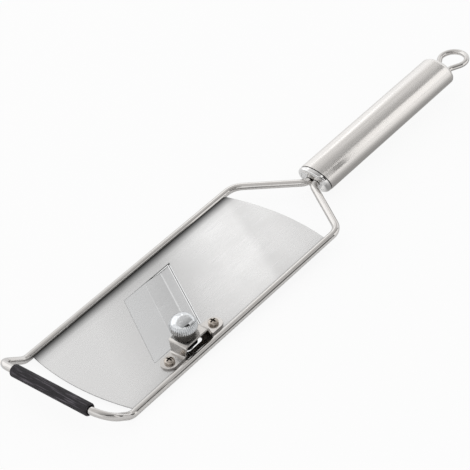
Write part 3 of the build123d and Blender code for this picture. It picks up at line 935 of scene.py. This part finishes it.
def make_sleeve():
    """Rubber sleeve, slightly uneven, with open mouths round the wire."""
    low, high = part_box("grip_sleeve")
    centre = (low + high) / 2
    outer = (high.z - low.z) / 2
    inner = WIRE_R + SLEEVE_GAP
    half = (high.y - low.y) / 2
    length = half - SLEEVE_EDGE
    end = arc_profile(
        (outer, length), (outer - SLEEVE_EDGE, half), (outer - SLEEVE_EDGE, length), SLEEVE_EDGE_STEPS
    )
    mouth = [
        (inner + SLEEVE_MOUTH, half),
        (inner + SLEEVE_THROAT, half - THROAT_DEPTH),
        (inner, half - MOUTH_DEPTH),
    ]
    middle = [(outer, -length + 2 * length * step / SLEEVE_STEPS) for step in range(1, SLEEVE_STEPS)]
    right = [*end, *mouth]
    left = [(radius, -place) for radius, place in reversed(right)]
    profile = left + middle + right
    points = []
    for radius, place in profile:
        for side in range(SLEEVE_SIDES):
            angle = 2 * pi * side / SLEEVE_SIDES
            spot = Vector((radius * cos(angle), place, radius * sin(angle)))
            reach = radius
            if radius > outer - SLEEVE_EDGE / 2:
                reach -= SLEEVE_WAVE * (0.5 + 0.5 * noise.noise(spot * SLEEVE_WAVES))
            points.append((centre.x + reach * cos(angle), centre.y + place, centre.z + reach * sin(angle)))
    faces = [tuple(reversed(face)) for face in grid_faces(len(profile), SLEEVE_SIDES)]
    new_piece("rubber_sleeve", points, faces, "frame", "black_rubber", ["grip_sleeve"])


make_sleeve()


# Floor, surroundings and lamps


def staged_plane(name, centre, right, up, width, height, material):
    """Flat rectangle that isn't part of the object."""
    right, up = right.normalized() * width / 2, up.normalized() * height / 2
    corners = [centre - right - up, centre + right - up, centre + right + up, centre - right + up]
    mesh = bpy.data.meshes.new(name)
    mesh.from_pydata(corners, [], [(0, 1, 2, 3)])
    mesh.materials.append(material)
    plane = bpy.data.objects.new(name, mesh)
    bpy.context.scene.collection.objects.link(plane)


def bare_tree(owner, output_kind):
    """Emptied node tree of a material or world, and the surface socket of its new output."""
    owner.use_nodes = True
    tree = owner.node_tree
    tree.nodes.clear()
    return tree, tree.nodes.new(output_kind).inputs["Surface"]


def ray_kind(tree, *kinds):
    """1 for rays of the named kinds, else 0."""
    path = tree.nodes.new("ShaderNodeLightPath")
    total = path.outputs[kinds[0]]
    for kind in kinds[1:]:
        more = tree.nodes.new("ShaderNodeMath")
        more.operation = "MAXIMUM"
        tree.links.new(total, more.inputs[0])
        tree.links.new(path.outputs[kind], more.inputs[1])
        total = more.outputs[0]
    return total


def share_of(tree, value, share):
    """Value times share."""
    part = tree.nodes.new("ShaderNodeMath")
    part.operation = "MULTIPLY"
    part.inputs[1].default_value = share
    tree.links.new(value, part.inputs[0])
    return part.outputs[0]


def pale_floor():
    """White to the camera, with the object's shadow kept as a faint tone."""
    material = bpy.data.materials.new("pale_floor")
    tree, surface = bare_tree(material, "ShaderNodeOutputMaterial")
    mix = tree.nodes.new("ShaderNodeMixShader")
    dull = tree.nodes.new("ShaderNodeBsdfDiffuse")
    dull.inputs["Color"].default_value = grey(FLOOR_TONE)
    white = tree.nodes.new("ShaderNodeEmission")
    both = tree.nodes.new("ShaderNodeMath")
    both.operation = "ADD"
    tree.links.new(share_of(tree, ray_kind(tree, "Is Camera Ray"), FLOOR_TO_CAMERA), both.inputs[0])
    in_metal = share_of(tree, ray_kind(tree, "Is Glossy Ray", "Is Transmission Ray"), FLOOR_IN_METAL)
    tree.links.new(in_metal, both.inputs[1])
    tree.links.new(both.outputs[0], mix.inputs[0])
    tree.links.new(dull.outputs[0], mix.inputs[1])
    tree.links.new(white.outputs[0], mix.inputs[2])
    tree.links.new(mix.outputs[0], surface)
    return material


def white_surroundings():
    """World that the camera and metal see as white, and that lights dull surfaces softly."""
    world = bpy.data.worlds.new("surroundings")
    tree, surface = bare_tree(world, "ShaderNodeOutputWorld")
    mix = tree.nodes.new("ShaderNodeMixShader")
    soft = tree.nodes.new("ShaderNodeBackground")
    soft.inputs["Strength"].default_value = SURROUND_GLOW
    white = tree.nodes.new("ShaderNodeBackground")
    for shader in (soft, white):
        shader.inputs["Color"].default_value = grey(1.0)
    seen = ray_kind(tree, "Is Camera Ray", "Is Glossy Ray", "Is Transmission Ray")
    tree.links.new(seen, mix.inputs[0])
    tree.links.new(soft.outputs[0], mix.inputs[1])
    tree.links.new(white.outputs[0], mix.inputs[2])
    tree.links.new(mix.outputs[0], surface)
    bpy.context.scene.world = world


def softbox(name, compass, height, width, tall, glow):
    """Rectangular lamp that faces the object; glow is its radiance."""
    compass, height = radians(compass), radians(height)
    direction = Vector((cos(compass) * cos(height), sin(compass) * cos(height), sin(height)))
    lamp = bpy.data.lights.new(name, "AREA")
    lamp.shape = "RECTANGLE"
    lamp.size, lamp.size_y = width, tall
    lamp.energy = glow * pi * width * tall
    holder = bpy.data.objects.new(name, lamp)
    holder.location = direction * LAMP_DISTANCE
    holder.rotation_mode = "QUATERNION"
    holder.rotation_quaternion = direction.to_track_quat("Z", "Y")
    bpy.context.scene.collection.objects.link(holder)


def toned_card(name, points, tones):
    """Card of rows of two points that only shows in the metal, with a tone for each row."""
    faces = [(2 * row, 2 * row + 1, 2 * row + 3, 2 * row + 2) for row in range(len(tones) - 1)]
    mesh = bpy.data.meshes.new(name)
    mesh.from_pydata(points, [], faces)
    colours = mesh.color_attributes.new("tone", "FLOAT_COLOR", "POINT")
    for index in range(len(points)):
        colours.data[index].color = grey(tones[index // 2], CARD_WARMTH)
    material = bpy.data.materials.new(name)
    tree, surface = bare_tree(material, "ShaderNodeOutputMaterial")
    glow = tree.nodes.new("ShaderNodeEmission")
    tone = tree.nodes.new("ShaderNodeVertexColor")
    tone.layer_name = "tone"
    tree.links.new(tone.outputs["Color"], glow.inputs["Color"])
    tree.links.new(glow.outputs[0], surface)
    mesh.materials.append(material)
    card = bpy.data.objects.new(name, mesh)
    bpy.context.scene.collection.objects.link(card)
    card.visible_camera = False
    card.visible_diffuse = False
    card.visible_transmission = False
    card.visible_shadow = False


def bent_card(name, span, stops, reach=CARD_REACH, card_lean=0):
    """Card bent round the tool's length; the stops are (angle, tone); card_lean turns its far end on."""
    points = []
    for angle, _ in stops:
        for x, turn in zip(span, (0, card_lean)):
            points.append((x, reach * cos(radians(angle + turn)), reach * sin(radians(angle + turn))))
    toned_card(name, points, [tone for _, tone in stops])


def flat_card(name, span, stops):
    """Card just above the floor, whose tones paint a shadow in the metal; the stops are (place across the
    tool, tone).
    """
    slope = (handle_bottom.z - plate_front.z) / (handle_bottom.x - plate_front.x)
    points = [
        (x, place * MM, plate_front.z + (x - plate_front.x) * slope + FLOOR_SHADOW_CARD_GAP)
        for place, _ in stops
        for x in span
    ]
    toned_card(name, points, [tone for _, tone in stops])


plate_front = Vector((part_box("slicing_plate")[0].x, 0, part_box("wire_frame")[0].z))
handle_bottom = Vector((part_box("handle_tube")[0].x, 0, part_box("handle_tube")[0].z))
staged_plane(
    "floor",
    (plate_front + handle_bottom) / 2,
    handle_bottom - plate_front,
    Vector((0, 1, 0)),
    FLOOR_SIZE,
    FLOOR_SIZE,
    pale_floor(),
)
white_surroundings()
softbox("key_lamp", **KEY_LAMP)
softbox("back_lamp", **BACK_LAMP)
bent_card("long_card", LONG_CARD_SPAN, LONG_CARD)
bent_card("bright_card", BRIGHT_CARD_SPAN, BRIGHT_CARD)
bent_card("rail_card", RAIL_CARD_SPAN, RAIL_CARD, RAIL_CARD_REACH)
bent_card("black_card", BLACK_CARD_SPAN, BLACK_CARD, BLACK_CARD_REACH, BLACK_CARD_LEAN)
toned_card("cap_card", [(x, CAP_CARD_Y, z) for z in CAP_CARD_Z for x in CAP_CARD_X], [CAP_CARD_TONE] * 2)
bent_card("low_card", LOW_CARD_SPAN, LOW_CARD)
# painted shadow of the handle on the floor, seen only in the metal
flat_card("floor_shadow_card", FLOOR_SHADOW_CARD_SPAN, FLOOR_SHADOW_CARD)


# Camera

camera = bpy.data.cameras.new("camera")
camera.lens = CAMERA_LENS
camera.sensor_width = CAMERA_SENSOR
camera.clip_start = CAMERA_CLIP
camera_up = CAMERA_RIGHT.cross(CAMERA_FORWARD)
camera_holder = bpy.data.objects.new("camera", camera)
camera_holder.matrix_world = Matrix.Translation(CAMERA_PLACE) @ Matrix(
    (CAMERA_RIGHT, camera_up, -CAMERA_FORWARD)
).transposed().to_4x4()
bpy.context.scene.collection.objects.link(camera_holder)
bpy.context.scene.camera = camera_holder
bpy.context.scene.view_settings.view_transform = "Standard"
